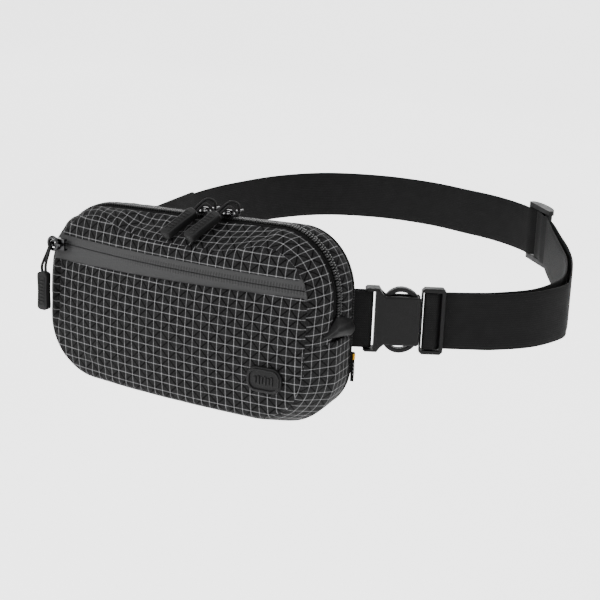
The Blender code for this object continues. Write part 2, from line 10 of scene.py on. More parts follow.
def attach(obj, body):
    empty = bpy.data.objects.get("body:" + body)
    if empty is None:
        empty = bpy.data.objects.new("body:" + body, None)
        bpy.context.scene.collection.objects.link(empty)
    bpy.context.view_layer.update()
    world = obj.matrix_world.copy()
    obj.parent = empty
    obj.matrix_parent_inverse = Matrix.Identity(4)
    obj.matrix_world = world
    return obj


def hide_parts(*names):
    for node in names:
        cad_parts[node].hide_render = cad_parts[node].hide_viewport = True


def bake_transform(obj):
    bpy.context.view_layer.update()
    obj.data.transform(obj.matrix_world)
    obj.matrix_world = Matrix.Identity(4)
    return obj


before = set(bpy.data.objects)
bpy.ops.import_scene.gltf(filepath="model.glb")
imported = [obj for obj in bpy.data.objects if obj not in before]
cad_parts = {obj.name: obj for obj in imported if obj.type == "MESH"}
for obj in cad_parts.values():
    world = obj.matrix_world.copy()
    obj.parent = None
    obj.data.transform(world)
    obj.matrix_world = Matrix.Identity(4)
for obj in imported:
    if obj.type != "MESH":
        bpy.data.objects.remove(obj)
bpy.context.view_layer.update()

MM = 0.001
UP = Vector((0, 0, 1))

# Shape of the bag, in millimetres, the same as the CAD part's.
FRONT_Y = -62.0
FRONT_BOW_RADIUS = 640.0
FRONT_RISE_RADIUS = 252.0
FRONT_CREST_Z = -20.0
ARCH_END_Z = -8.0
TOP_TILT = 0.05
SLIT_Z = 29.5
BAND_HIGH = 36.0
ZIP_Y = -23.2
ZIP_HALF = 5.8
COIL_END_Z = 9.5
RIDGE_Y = -26.0
BACK_Y = -3.0
SLIDER_X = {"left": 7.0, "right": 26.0}
POCKET_SLIDER_X = -94.0
SLIDER_SEAT = 2.35
HINGE_HEIGHT = 2.0
POCKET_HINGE_OFF = 4.9
TAB_REACH = 8.0
TAB_LIFT = math.radians(15)
GRIP_LENGTH = 28.0
GRIP_HALF_THICK = 2.75
BELT_Z = -0.7
WEBBING_WIDTH = 40.0
WEBBING = 1.2
WING_WIDTH = 43.0
LABEL_Z = -32.0
BADGE_X = 79.0
BADGE_Z = -33.0
BUCKLE_START = (107.0, 6.0)
BUCKLE_HEADING = math.radians(29.5)
ARC_CENTRE = (22.0, 204.0)
ARC_RADIUS = 145.0
TRIGLIDE_RADIUS = 147.0
TRIGLIDE_ANGLE = math.radians(46.3)
BUCKLE_TAIL = 64.7

# Sizes that only the visual model has, in millimetres.
CELL = 6.3
CLOTH = 1.2
BAND = 0.9
ZIP_TAPE = 0.7
END_TAB = 0.8
TUCK = 0.6
SLIT_HALF = 0.28
TAPE_SPLIT_HALF = 0.15
TAPE_TUCK = 0.4
COIL_PITCH = 1.9
COIL_OFFSET = 1.5
COIL_LIFT = 0.55
CORD_RADIUS = 1.0
CORD_GIRTH = 5.5
CORD_TUCK = 0.2
BADGE_HALF_THICK = 1.3
RING_RADIUS = 4.4
RING_WIRE_RADIUS = 1.25
WING_THICKNESS = 3.2
THREADED_REACH = 24.3

# Counts and angles.
STRAP_ROWS = 8
TUBE_SIDES = 12
EDGE_ANGLE = math.radians(32)


class Outline:
    """A rounded rectangle in x and z whose top edge may sag in its middle, and lean to one side."""

    def __init__(self, half_width, top, bottom, corner_top, corner_bottom, dip=0.0, tilt=0.0):
        self.half_width = half_width
        self.top = top
        self.bottom = bottom
        self.corner_top = corner_top
        self.corner_bottom = corner_bottom
        self.dip = dip
        self.tilt = tilt

    def top_at(self, x):
        centre = self.half_width - self.corner_top
        over = max(0.0, abs(x) - centre)
        drop = self.corner_top - math.sqrt(max(0.0, self.corner_top**2 - over**2))
        sag = self.dip * (1 - (x / centre) ** 4) ** 2 if abs(x) < centre else 0.0
        z = self.top - drop - sag
        return z + self.tilt * x * max(0.0, z) / self.top

    def bottom_at(self, x):
        over = max(0.0, abs(x) - self.half_width + self.corner_bottom)
        return self.bottom + self.corner_bottom - math.sqrt(max(0.0, self.corner_bottom**2 - over**2))

    def reach(self, z):
        above = max(0.0, z - self.top + self.corner_top)
        below = max(0.0, self.bottom + self.corner_bottom - z)
        corner = self.corner_top if above else self.corner_bottom
        return self.half_width - corner + math.sqrt(max(0.0, corner**2 - (above or below) ** 2))

    def arch(self, end_z, upper, step=2.0):
        """The edge from the right side at end_z over to the left side, about every step millimetres."""
        corner = self.corner_top if upper else self.corner_bottom
        centre = self.half_width - corner
        edge_at = self.top_at if upper else self.bottom_at
        start = edge_at(self.half_width)
        right = []
        count = round(abs(start - end_z) / step)
        for k in range(count):
            right.append((self.half_width, end_z + (start - end_z) * k / count))
        count = round(corner * math.pi / 2 / step)
        for k in range(count):
            x = centre + corner * math.cos(math.pi / 2 * k / count)
            right.append((x, edge_at(x)))
        count = round(centre / step)
        for k in range(count):
            x = centre * (1 - k / count)
            right.append((x, edge_at(x)))
        left = [(-x, edge_at(-x) if x < self.half_width - 1e-6 else z) for x, z in right[::-1]]
        return [*right, (0.0, edge_at(0.0)), *left]


FRONT = Outline(104.5, 54.0, -64.0, 38.0, 38.0, dip=8.0)
ZIP = Outline(113.2, 60.0, -70.0, 44.0, 40.0, tilt=TOP_TILT)
RIDGE = Outline(114.0, 60.0, -71.0, 44.0, 40.0)
BACK = Outline(113.5, 57.0, -69.0, 40.0, 37.0, tilt=TOP_TILT)


def front_y(x, z):
    """The front face's y: the face bows back to both sides, and up and down from its crest."""
    bow = FRONT_BOW_RADIUS - math.sqrt(FRONT_BOW_RADIUS**2 - x**2)
    return FRONT_Y + bow + (z - FRONT_CREST_Z) ** 2 / (2 * FRONT_RISE_RADIUS)


def band_low(x):
    """The pocket band's lower edge, which slopes a little."""
    return 20.6 + 0.035 * x


def ease(t):
    t = min(1.0, max(0.0, t))
    return t * t * (3 - 2 * t)


def rumple(x, y, z, size, seed=0.0):
    """Smooth noise from about -1 to 1 with features of this size in millimetres."""
    return noise.noise(Vector((x / size + seed, y / size, z / size - seed)))


# Materials.


class Graph:
    """A material's node tree, with short calls for the nodes used here."""

    def __init__(self, name):
        self.material = bpy.data.materials.new("look_" + name)
        self.material.use_nodes = True
        self.tree = self.material.node_tree
        self.shader = self.tree.nodes["Principled BSDF"]

    def put(self, socket, value):
        if isinstance(value, bpy.types.NodeSocket):
            self.tree.links.new(value, socket)
        else:
            socket.default_value = value

    def math(self, operation, a, b=0.0):
        node = self.tree.nodes.new("ShaderNodeMath")
        node.operation = operation
        for socket, value in zip(node.inputs, (a, b)):
            self.put(socket, value)
        return node.outputs[0]

    def ramp(self, value, low, high, out_low=0.0, out_high=1.0, smooth=False):
        node = self.tree.nodes.new("ShaderNodeMapRange")
        node.interpolation_type = "SMOOTHSTEP" if smooth else "LINEAR"
        for name, given in zip(("Value", "From Min", "From Max", "To Min", "To Max"),
                               (value, low, high, out_low, out_high)):
            self.put(node.inputs[name], given)
        return node.outputs["Result"]

    def mix(self, factor, a, b):
        node = self.tree.nodes.new("ShaderNodeMix")
        node.data_type = "RGBA"
        self.put(node.inputs["Factor"], factor)
        self.put(node.inputs["A"], a if isinstance(a, bpy.types.NodeSocket) else (*a, 1))
        self.put(node.inputs["B"], b if isinstance(b, bpy.types.NodeSocket) else (*b, 1))
        return node.outputs["Result"]

    def coordinates(self, kind):
        node = self.tree.nodes.new("ShaderNodeTexCoord")
        return node.outputs[kind]

    def uv(self, unit):
        """U and V divided by a unit in millimetres; the UV map is in metres."""
        node = self.tree.nodes.new("ShaderNodeSeparateXYZ")
        self.put(node.inputs[0], self.coordinates("UV"))
        scale = 1 / (unit * MM)
        return [self.math("MULTIPLY", node.outputs[k], scale) for k in (0, 1)]

    def noise(self, size, detail):
        """Noise whose features are about size millimetres."""
        node = self.tree.nodes.new("ShaderNodeTexNoise")
        node.inputs["Scale"].default_value = 1 / (size * MM)
        node.inputs["Detail"].default_value = detail
        node.inputs["Roughness"].default_value = 0.55
        self.put(node.inputs["Vector"], self.coordinates("Object"))
        return node.outputs["Fac"]

    def bump(self, height, depth, strength):
        node = self.tree.nodes.new("ShaderNodeBump")
        node.inputs["Strength"].default_value = strength
        node.inputs["Distance"].default_value = depth * MM
        self.put(node.inputs["Height"], height)
        self.put(self.shader.inputs["Normal"], node.outputs["Normal"])

    def finish(self, colour, roughness, metallic=0.0, specular=0.5):
        self.put(self.shader.inputs["Base Color"], colour)
        self.put(self.shader.inputs["Roughness"], roughness)
        self.put(self.shader.inputs["Metallic"], metallic)
        self.put(self.shader.inputs["Specular IOR Level"], specular)
        return self.material


def ripstop():
    """Near-black cloth with a pale square grid, and black diagonals that cross at every other node of it."""
    g = Graph("ripstop")
    u, v = g.uv(CELL)
    across = g.math("PINGPONG", u, 0.5)
    along = g.math("PINGPONG", v, 0.5)
    line_u = g.ramp(across, 0.030, 0.062, 1.0, 0.0, smooth=True)
    line_v = g.ramp(along, 0.030, 0.062, 1.0, 0.0, smooth=True)
    lines = g.math("MAXIMUM", line_u, line_v)
    node = g.math("MULTIPLY", line_u, line_v)
    down = g.math("PINGPONG", g.math("SUBTRACT", u, v), 1.0)
    up = g.math("PINGPONG", g.math("ADD", u, v), 1.0)
    slanted = g.ramp(g.math("MINIMUM", down, up), 0.065, 0.13, 1.0, 0.0, smooth=True)
    fine_u, fine_v = g.uv(0.42)
    weave = g.math("MULTIPLY", g.math("PINGPONG", fine_u, 0.5), g.math("PINGPONG", fine_v, 0.5))
    cloud = g.noise(14.0, 2.0)
    grain = g.noise(0.9, 2.0)
    base = g.mix(g.ramp(grain, 0.3, 0.7), (0.004, 0.004, 0.0041), (0.013, 0.013, 0.0132))
    worn = g.math("MULTIPLY", slanted, g.ramp(grain, 0.25, 0.6, 0.75, 1.0))
    base = g.mix(worn, base, (0.0002, 0.0002, 0.0002))
    thread = g.mix(g.ramp(g.noise(1.4, 1.0), 0.3, 0.7), (0.055, 0.055, 0.056), (0.12, 0.12, 0.122))
    thread = g.mix(node, thread, (0.21, 0.21, 0.215))
    colour = g.mix(g.math("MULTIPLY", lines, g.ramp(cloud, 0.25, 0.6, 0.72, 1.0)), base, thread)
    height = g.math("ADD", g.math("MULTIPLY", lines, 0.5), g.math("MULTIPLY", weave, 1.6))
    g.bump(g.math("ADD", height, g.math("MULTIPLY", slanted, -0.25)), 0.12, 0.8)
    return g.finish(colour, g.ramp(cloud, 0.2, 0.8, 0.62, 0.78), specular=0.04)


def coated():
    """Matte laminated zip tape with the coil's teeth pressing through beside the slit, with painted shade in
    the hollows between the teeth.
    """
    g = Graph("coated_tape")
    u, v = g.uv(1.0)
    teeth = g.math("PINGPONG", g.math("MULTIPLY", u, 1 / 2.1), 0.5)
    near = g.ramp(g.math("ABSOLUTE", g.math("SUBTRACT", v, SLIT_Z)), 2.2, 3.6, 1.0, 0.0, smooth=True)
    near = g.math("MULTIPLY", near, g.ramp(u, -70, 10, 0.10, 1.0, smooth=True))
    grain = g.noise(0.5, 3.0)
    cloud = g.noise(20.0, 2.0)
    colour = g.mix(g.ramp(grain, 0.3, 0.7), (0.009, 0.009, 0.0093), (0.019, 0.019, 0.0195))
    colour = g.mix(g.ramp(cloud, 0.3, 0.7, 0.0, 0.25), colour, (0.009, 0.009, 0.0093))
    # Painted shade: the hollows between the pressed-through teeth are darkened in the colour.
    shaded_gaps = g.math("MULTIPLY", near, g.ramp(teeth, 0.1, 0.4, 0.9, 0.0))
    colour = g.mix(shaded_gaps, colour, (0.002, 0.002, 0.002))
    height = g.math("ADD", g.math("MULTIPLY", grain, 0.35), g.math("MULTIPLY", near, teeth))
    g.bump(height, 0.45, 1.0)
    return g.finish(colour, g.ramp(grain, 0.3, 0.7, 0.50, 0.66), specular=0.28)


def woven(name, dark, light, rib, twill):
    """Webbing or tape: fine diagonal twill over ribs that run along it."""
    g = Graph(name)
    u, v = g.uv(1.0)
    ribs = g.math("PINGPONG", g.math("MULTIPLY", v, 1 / rib), 0.5)
    slant = g.math("PINGPONG", g.math("DIVIDE", g.math("ADD", u, v), twill), 0.5)
    grain = g.noise(0.55, 2.0)
    cloud = g.noise(9.0, 2.0)
    pick = g.math("MULTIPLY", g.ramp(slant, 0.05, 0.45), g.ramp(ribs, 0.02, 0.3, 0.55, 1.0))
    pick = g.math("MULTIPLY", pick, g.ramp(grain, 0.25, 0.75, 0.5, 1.1))
    colour = g.mix(g.math("MULTIPLY", pick, g.ramp(cloud, 0.25, 0.75, 0.7, 1.0)), dark, light)
    g.bump(g.math("ADD", ribs, slant), 0.16, 0.7)
    return g.finish(colour, g.ramp(grain, 0.3, 0.7, 0.66, 0.85), specular=0.05)


def moulded(name, dark, light, roughness, grain_size, depth, metallic=0.0, specular=0.5):
    """Moulded or cast material: a fine grain in its colour, its sheen and its surface."""
    g = Graph(name)
    grain = g.noise(grain_size, 4.0)
    cloud = g.noise(grain_size * 14, 2.0)
    colour = g.mix(g.ramp(grain, 0.3, 0.7), dark, light)
    colour = g.mix(g.ramp(cloud, 0.35, 0.7, 0.0, 0.35), colour, light)
    g.bump(grain, depth, 0.6)
    return g.finish(colour, g.ramp(cloud, 0.25, 0.75, roughness - 0.07, roughness + 0.07), metallic, specular)


def braided():
    """A thin braided cord: two sets of slanted strands round it."""
    g = Graph("braid")
    u, v = g.uv(1.0)
    left = g.math("PINGPONG", g.math("ADD", g.math("MULTIPLY", u, 1.1), v), 0.5)
    right = g.math("PINGPONG", g.math("SUBTRACT", g.math("MULTIPLY", u, 1.1), v), 0.5)
    strands = g.math("ADD", left, right)
    colour = g.mix(g.ramp(strands, 0.2, 0.8), (0.0015, 0.0015, 0.0015), (0.010, 0.010, 0.0102))
    g.bump(strands, 0.15, 0.8)
    return g.finish(colour, g.ramp(strands, 0.2, 0.8, 0.75, 0.55), specular=0.12)


RIPSTOP = ripstop()
COATED = coated()
WEB = woven("webbing", (0.0015, 0.0015, 0.0015), (0.016, 0.016, 0.0162), rib=1.6, twill=1.3)
TAPE = woven("zip_tape", (0.001, 0.001, 0.001), (0.006, 0.006, 0.006), rib=0.7, twill=0.45)
LINING = woven("lining", (0.006, 0.006, 0.006), (0.014, 0.014, 0.0142), rib=0.5, twill=0.5)
BACKING = woven("back_cloth", (0.002, 0.002, 0.002), (0.030, 0.030, 0.0305), rib=2.4, twill=2.0)
LEATHERETTE = moulded("end_tab", (0.0015, 0.0015, 0.0015), (0.0045, 0.0045, 0.0046), 0.6, 0.5, 0.05,
                      specular=0.1)
PLASTIC = moulded("acetal", (0.001, 0.001, 0.001), (0.006, 0.006, 0.0061), 0.46, 0.55, 0.06, specular=0.11)
RUBBER = moulded("rubber", (0.002, 0.002, 0.002), (0.006, 0.006, 0.0061), 0.5, 0.4, 0.04, specular=0.15)
COIL = moulded("coil", (0.002, 0.002, 0.002), (0.008, 0.008, 0.0082), 0.34, 0.4, 0.02, specular=0.30)
METAL = moulded("dark_metal", (0.012, 0.012, 0.0125), (0.045, 0.045, 0.046), 0.24, 0.7, 0.02, metallic=1.0)
CORD = braided()
AMBER = woven("amber_thread", (0.50, 0.24, 0.01), (0.85, 0.48, 0.03), rib=0.6, twill=0.4)
PALE = woven("pale_thread", (0.12, 0.12, 0.12), (0.40, 0.40, 0.40), rib=0.5, twill=0.4)


# Meshes.


def sharpen(obj, degrees):
    """Sharp edges where faces meet at more than this angle."""
    obj.data.set_sharp_from_angle(angle=math.radians(degrees))


def add(name, mesh, look, body, *replaced):
    """A smooth-shaded piece that rides a body; if body is a tuple, its place is baked into its mesh instead.
    """
    mesh.materials.clear()
    mesh.materials.append(look)
    for polygon in mesh.polygons:
        polygon.use_smooth = True
    obj = bpy.data.objects.new(name, mesh)
    bpy.context.scene.collection.objects.link(obj)
    if isinstance(body, str):
        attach(obj, body)
    else:
        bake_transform(obj)
    if replaced:
        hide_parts(*replaced)
    return obj


def skin(name, rows, look, body, *replaced, thickness=0.0):
    """A surface through rows of (point, (u, v)), all in millimetres, thickened to its inside."""
    mesh = bpy.data.meshes.new(name)
    wide = len(rows[0])
    points = [Vector(p) * MM for row in rows for p, _ in row]
    faces = []
    for j in range(len(rows) - 1):
        for k in range(wide - 1):
            a = j * wide + k
            faces.append((a, a + 1, a + 1 + wide, a + wide))
    mesh.from_pydata(points, [], faces)
    layer = mesh.uv_layers.new(name="UVMap")
    flat = [(u * MM, v * MM) for row in rows for _, (u, v) in row]
    for loop in mesh.loops:
        layer.data[loop.index].uv = flat[loop.vertex_index]
    obj = add(name, mesh, look, body, *replaced)
    if thickness:
        solidify = obj.modifiers.new("thickness", "SOLIDIFY")
        solidify.thickness = thickness * MM
        solidify.offset = -1
    return obj


def smooth_path(points, step):
    """A Catmull-Rom curve through the points, about every step millimetres."""
    points = [Vector(p) for p in points]
    padded = [2 * points[0] - points[1], *points, 2 * points[-1] - points[-2]]
    path = []
    for a, b, c, d in zip(padded, padded[1:], padded[2:], padded[3:]):
        count = max(1, round((c - b).length / step))
        for k in range(count):
            t = k / count
            linear = 2 * b + (c - a) * t
            bend = (2 * a - 5 * b + 4 * c - d) * t**2 + (3 * b - a - 3 * c + d) * t**3
            path.append((linear + bend) / 2)
    return [*path, points[-1]]


def heading(path, k):
    """The unit direction of a path at its point k."""
    return (path[min(k + 1, len(path) - 1)] - path[max(k - 1, 0)]).normalized()


def swept(name, path, section, look, body, *replaced):
    """A closed section of (sideways, upwards) points carried along a level path, both in millimetres."""
    bm = bmesh.new()
    layer = bm.loops.layers.uv.new("UVMap")
    rings = []
    runs = [0.0]
    for before, after in zip(path, path[1:]):
        runs.append(runs[-1] + (after - before).length)
    around = [0.0]
    for before, after in zip(section, [*section[1:], section[0]]):
        around.append(around[-1] + math.dist(before, after))
    for k, point in enumerate(path):
        along = heading(path, k)
        off = UP.cross(along).normalized()
        rise = along.cross(off)
        rings.append([bm.verts.new((point + off * a + rise * b) * MM) for a, b in section])
    count = len(section)
    for j in range(len(rings) - 1):
        for k in range(count):
            after = (k + 1) % count
            face = bm.faces.new((rings[j][k], rings[j][after], rings[j + 1][after], rings[j + 1][k]))
            us = (runs[j], runs[j], runs[j + 1], runs[j + 1])
            vs = (around[k], around[k + 1], around[k + 1], around[k])
            for loop, u, v in zip(face.loops, us, vs):
                loop[layer].uv = (u * MM, v * MM)
    bm.faces.new(rings[0][::-1])
    bm.faces.new(rings[-1])
    bmesh.ops.recalc_face_normals(bm, faces=bm.faces)
    mesh = bpy.data.meshes.new(name)
    bm.to_mesh(mesh)
    bm.free()
    sharpen(add(name, mesh, look, body, *replaced), 75)


def strap_section(thickness, width):
    """Webbing's section: flat faces with several points up their height, and softened edges."""
    half = thickness / 2
    tall = width / 2
    edge = half * 0.9
    steps = [k / STRAP_ROWS for k in range(STRAP_ROWS + 1)]
    section = [(half, (-tall + edge) + (2 * tall - 2 * edge) * t) for t in steps]
    section += [(half * 0.6, tall - 0.15), (-half * 0.6, tall - 0.15)]
    section += [(-half, (tall - edge) - (2 * tall - 2 * edge) * t) for t in steps]
    section += [(-half * 0.6, -tall + 0.15), (half * 0.6, -tall + 0.15)]
    return section


def strap(name, points, body, node, thickness=WEBBING, width=WEBBING_WIDTH, step=3.0, smooth=True):
    """Upright webbing along points of the belt's plan."""
    path = [Vector((p.x, p.y, BELT_Z)) for p in (smooth_path(points, step) if smooth else points)]
    swept(name, path, strap_section(thickness, width), WEB, body, node)


def merged(name, makers, look, body, *replaced):
    """One mesh from several closed bmesh shapes, such as a row of teeth."""
    bm = bmesh.new()
    for make in makers:
        make(bm)
    mesh = bpy.data.meshes.new(name)
    bm.to_mesh(mesh)
    bm.free()
    add(name, mesh, look, body, *replaced)


def at(origin, along, up):
    """The matrix that puts flat shapes at an origin in millimetres, their x along and their y nearly up."""
    x = Vector(along).normalized()
    z = x.cross(Vector(up)).normalized()
    turn = Matrix((x, z.cross(x), z)).transposed().to_4x4()
    return Matrix.Translation(Vector(origin) * MM) @ turn


# Bag cloth.


def seam_dip(distance, depth=2.1, width=1.9):
    """How far cloth sinks beside a seam."""
    return depth * math.exp(-((distance / width) ** 1.5)) if distance > 0 else depth


def front_point(x, z, low, high):
    """A point of the front cloth, sunk beside its seams, with the left side's fold and small wrinkles."""
    reach = FRONT.reach(z)
    edge = min(reach - abs(x), FRONT.top_at(x) - z, z - FRONT.bottom_at(x))
    sink = seam_dip(edge) + seam_dip(min(z - low, high - z), 0.5, 1.2)
    fold = math.exp(-(((x + 96.5) / 1.5) ** 2)) * ease((22 - z) / 10) * ease((z + 34) / 16)
    slack = 0.45 * rumple(x, 0, z, 22.0) + 0.16 * rumple(x, 0, z, 7.0, 3.1)
    pull = 0.8 * rumple(x, 0, z * 0.35, 9.0, 8.0) * math.exp(-abs(high - z) / 9)
    corner = math.exp(-(((x + 58) / 24) ** 2) - ((z + 50) / 10) ** 2)
    pull += 1.5 * corner * rumple(x * 0.6 + z * 0.5, 0, z, 7.0, 12.0)
    return (x, front_y(x, z) + sink + 2.4 * fold + slack + pull, z)


def panel_rows(low_of, high_of, z_wide, across, up, inset=0.0):
    """Rows of the front cloth between two edges, as wide as the outline is at z_wide, less the inset."""
    rows = []
    reach = FRONT.reach(z_wide) - inset
    for j in range(up + 1):
        row = []
        for k in range(across + 1):
            x = reach * math.sin(math.radians(180 * k / across - 90))
            low = max(low_of(x), FRONT.bottom_at(x))
            high = min(high_of(x), FRONT.top_at(x))
            high = max(high, low + 0.05)
            z = low + (high - low) * j / up
            row.append((front_point(x, z, low, high), (x + 1.4, z + 1.0 + 0.006 * x)))
        rows.append(row)
    return rows


def build_band(side, low_of, high_of, z_wide):
    """One half of the pocket's coated zip tape, with a lip along the slit."""
    rows = []
    for row in panel_rows(low_of, high_of, z_wide, 130, 8, 0.5):
        rows.append([])
        for (x, _, z), _ in row:
            lip = 0.5 * math.exp(-((z - SLIT_Z) ** 2) / 5.0)
            wave = 0.25 * rumple(x, 0, z, 16, 5.0)
            rows[-1].append(((x, front_y(x, z) + 1.05 - lip + wave, z), (x, z)))
    skin("pocket_band_" + side, rows, COATED, "bag", "pocket_zip_tape_" + side, thickness=BAND)


def build_front():
    skin("front_lower_cloth",
         panel_rows(lambda x: FRONT.bottom, lambda x: band_low(x) + TUCK, 0.0, 150, 60),
         RIPSTOP, "bag", "front_panel_lower", thickness=CLOTH)
    skin("front_upper_cloth",
         panel_rows(lambda x: BAND_HIGH - 0.5, lambda x: FRONT.top, BAND_HIGH, 120, 14, 0.4),
         RIPSTOP, "bag", "front_panel_upper", thickness=CLOTH)
    build_band("lower", lambda x: band_low(x) - TUCK, lambda x: SLIT_Z - SLIT_HALF, 24.0)
    build_band("upper", lambda x: SLIT_Z + SLIT_HALF, lambda x: BAND_HIGH + TUCK, SLIT_Z)


def runs_of(path):
    """How far each point of a path lies along it."""
    runs = [0.0]
    for a, b in zip(path, path[1:]):
        runs.append(runs[-1] + math.dist(a, b))
    return runs


def resampled(arch, count):
    """The same arch with this many points, evenly apart."""
    runs = runs_of(arch)
    out = []
    j = 0
    for k in range(count):
        want = runs[-1] * k / (count - 1)
        while j < len(runs) - 2 and runs[j + 1] < want:
            j += 1
        t = (want - runs[j]) / max(1e-9, runs[j + 1] - runs[j])
        a, b = arch[j], arch[j + 1]
        out.append((a[0] + (b[0] - a[0]) * t, a[1] + (b[1] - a[1]) * t))
    return out


def strip_rows(stations, across, slack, puff):
    """Cloth that joins arches across the bag; each station is an arch and its depth, a number or a function.

    The strip sinks at its two outer seams and puffs up between them. Slack adds wrinkles, more of them above
    the buckle's height, and presses the cloth down under the main grips.
    """
    count = min(len(arch) for arch, _ in stations)
    lines = []
    for arch, depth in stations:
        places = resampled(arch, count)
        lines.append([Vector((x, depth(x, z) if callable(depth) else depth, z)) for x, z in places])
    rows = []
    spans = len(lines) - 1
    for j in range(across * spans + 1):
        section = min(spans - 1, j // across)
        t = j / across - section
        overall = j / (across * spans)
        row = []
        for k in range(count):
            previous, following = max(k - 1, 0), min(k + 1, count - 1)
            near, far = lines[section], lines[section + 1]
            p = near[k].lerp(far[k], t)
            before = near[previous].lerp(far[previous], t)
            after = near[following].lerp(far[following], t)
            normal = (after - before).cross(lines[-1][k] - lines[0][k])
            normal = normal.normalized() if normal.length > 1e-9 else UP
            if normal.dot(Vector((p.x, 0, p.z))) < 0:
                normal = -normal
            width = (lines[-1][k] - lines[0][k]).length
            edge = min(overall, 1 - overall) * width
            loose = ease((p.z - 5) / 40)
            middle = math.sin(math.pi * overall)
            swell = puff * middle * (0.55 + 0.45 * (1 - loose))
            ripple = slack * (0.9 * loose + 0.25) * middle
            broad = rumple(p.x, p.y * 0.8, p.z, 13.0, 2.0)
            swell += ripple * (0.9 * broad + 0.5 * rumple(p.x, p.y, p.z, 5.5, 6.0))
            under_grips = loose * ease((p.x + 48) / 14) * ease((74 - p.x) / 14) * middle
            swell -= 0.9 * slack * under_grips
            p = p + normal * (swell - seam_dip(edge, 1.1, 2.0))
            row.append((p, k, overall, width))
        rows.append(row)
    runs = [0.0]
    centre = rows[len(rows) // 2]
    for a, b in zip(centre, centre[1:]):
        runs.append(runs[-1] + (b[0] - a[0]).length)
    half = runs[-1] / 2
    return [[(tuple(p), (runs[k] - half, overall * width)) for p, k, overall, width in row[::-1]]
            for row in rows]


def under(x, z):
    """The gussets' front edge, just behind the front face."""
    return front_y(x, z) + 0.9


def build_gussets():
    top_front = FRONT.arch(ARCH_END_Z, True)
    top_zip = ZIP.arch(ARCH_END_Z, True)
    top_back = BACK.arch(ARCH_END_Z, True)
    front_edge = ZIP_Y - ZIP_HALF + TAPE_TUCK
    rear_edge = ZIP_Y + ZIP_HALF - TAPE_TUCK
    skin("gusset_front_cloth", strip_rows([(top_front, under), (top_zip, front_edge)], 16, 2.0, 1.8),
         RIPSTOP, "bag", "gusset_front", thickness=CLOTH)
    skin("gusset_rear_cloth", strip_rows([(top_zip, rear_edge), (top_back, BACK_Y)], 10, 0.8, 1.2),
         RIPSTOP, "bag", "gusset_rear", thickness=CLOTH)
    low = ARCH_END_Z + TUCK
    stations = [(FRONT.arch(low, False), under), (RIDGE.arch(low, False), RIDGE_Y),
                (BACK.arch(low, False), BACK_Y)]
    skin("bottom_gusset_cloth", [row[::-1] for row in strip_rows(stations, 14, 0.7, 1.0)],
         RIPSTOP, "bag", "bottom_gusset", thickness=CLOTH)
    for side, y_low, y_high in (("front", -ZIP_HALF, -TAPE_SPLIT_HALF), ("rear", TAPE_SPLIT_HALF, ZIP_HALF)):
        rows = strip_rows([(top_zip, ZIP_Y + y_low), (top_zip, ZIP_Y + y_high)], 4, 0.0, 0.0)
        skin("zip_tape_" + side, rows, TAPE, "bag", "main_zip_tape_" + side, thickness=ZIP_TAPE)


def build_back():
    up, across = 30, 60
    rows = []
    for j in range(up + 1):
        row = []
        for k in range(across + 1):
            x = BACK.half_width * math.sin(math.radians(180 * k / across - 90))
            low = BACK.bottom_at(x)
            high = BACK.top_at(x)
            z = low + (high - low) * j / up
            edge = min(BACK.reach(z) - abs(x), high - z, z - low)
            sink = 2.2 * math.exp(-max(0.0, edge) / 2.0)
            wave = 0.25 * rumple(x, 0, z, 26, 4.0)
            row.append(((x, -sink + 0.2 + wave * (1 - sink / 2.2), z), (x, z)))
        rows.append(row[::-1])
    skin("back_cloth", rows, BACKING, "bag", "back_panel", thickness=CLOTH)


build_front()
build_gussets()
build_back()


# Main zip teeth, end tabs, badge, label.


# A tooth's rings as (across the zip, half width, height), and the outline that each ring scales.
TOOTH_RINGS = ((-1.3, 0.42, 0.50), (-0.9, 0.62, 0.85), (0.9, 0.62, 0.85), (1.3, 0.40, 0.45))
TOOTH_OUTLINE = ((-1, -1.2), (1, -1.2), (1, 0.4), (0.45, 1), (-0.45, 1), (-1, 0.4))


def build_coils():
    """The main zip's two rows of teeth, half a pitch apart."""
    arch = ZIP.arch(COIL_END_Z, True, step=0.5)
    runs = runs_of(arch)
    for place, side in (("front", -1), ("rear", 1)):
        makers = []
        j = 0
        for k in range(int(runs[-1] / COIL_PITCH)):
            want = COIL_PITCH * (k + (0.5 if side > 0 else 0.0)) + 0.3
            while j < len(runs) - 2 and runs[j + 1] < want:
                j += 1
            a, b = arch[j], arch[j + 1]
            along = Vector((b[0] - a[0], 0, b[1] - a[1])).normalized()
            out = Vector((-along.z, 0, along.x))
            if out.dot(Vector((a[0], 0, a[1]))) < 0:
                out = -out
            spot = Vector((a[0], ZIP_Y + side * COIL_OFFSET, a[1])) + out * COIL_LIFT

            def tooth(bm, side=side, spot=spot, along=along, out=out):
                across = Vector((0, side, 0))
                ring = []
                for s, wide, tall in TOOTH_RINGS:
                    base = spot + across * s
                    ring.append([bm.verts.new((base + along * wide * c + out * tall * d) * MM)
                                 for c, d in TOOTH_OUTLINE])
                made = []
                for near, far in zip(ring, ring[1:]):
                    for i in range(len(near)):
                        after = (i + 1) % len(near)
                        made.append(bm.faces.new((near[i], near[after], far[after], far[i])))
                made.append(bm.faces.new(ring[0][::-1]))
                made.append(bm.faces.new(ring[-1]))
                bmesh.ops.recalc_face_normals(bm, faces=made)

            makers.append(tooth)
        merged("coil_" + place, makers, COIL, "bag", "main_zip_coil_" + place)


